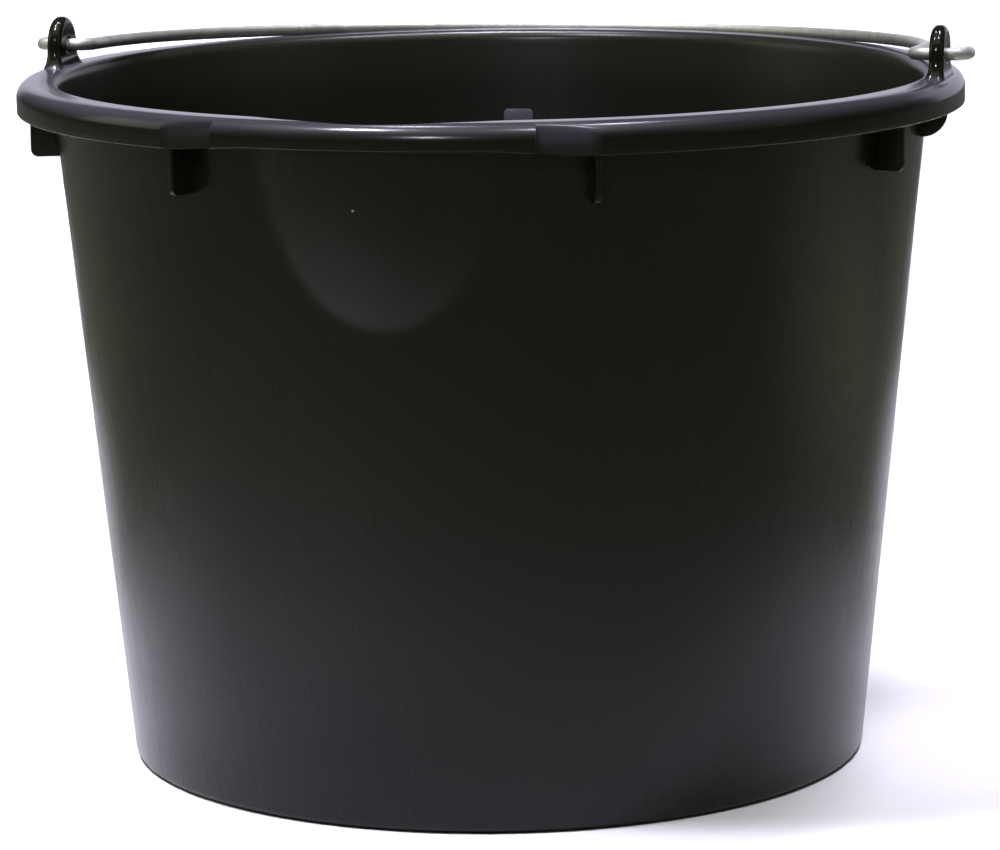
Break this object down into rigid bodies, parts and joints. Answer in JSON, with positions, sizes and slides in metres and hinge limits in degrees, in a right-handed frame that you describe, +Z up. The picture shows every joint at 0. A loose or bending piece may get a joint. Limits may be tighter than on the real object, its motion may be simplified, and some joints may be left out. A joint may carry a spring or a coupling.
{
  "type": "cement bucket",
  "caption": "Black moulded builder's bucket with a tapered round tub, hollow rolled rim, pouring spout and two ears that hold a bare wire bail, which folds down on the rim to either side.",
  "frame": {"origin": "middle of the base, on the surface that the bucket stands on", "axes": "+Z up along the tub's axis; X through the two ears, along the bail's hinge axis; -Y towards the pouring spout; +Y towards the back, where the folded bail lies"},
  "size_m": [0.388, 0.386, 0.2962],
  "materials": {
    "tub_plastic": "satin black polyethylene, a little glossier on the rim and ears",
    "bail_wire": "dull galvanised steel wire"
  },
  "bodies": {
    "tub": {"bucket": "tub_plastic"},
    "bail": {"bail": "bail_wire"}
  },
  "joints": [
    {"name": "bail_swing", "type": "hinge", "parent": "tub", "child": "bail", "pos_m": [0, 0, 0.2847], "axis": [1, 0, 0], "range_deg": [0, 185.4]}
  ]
}
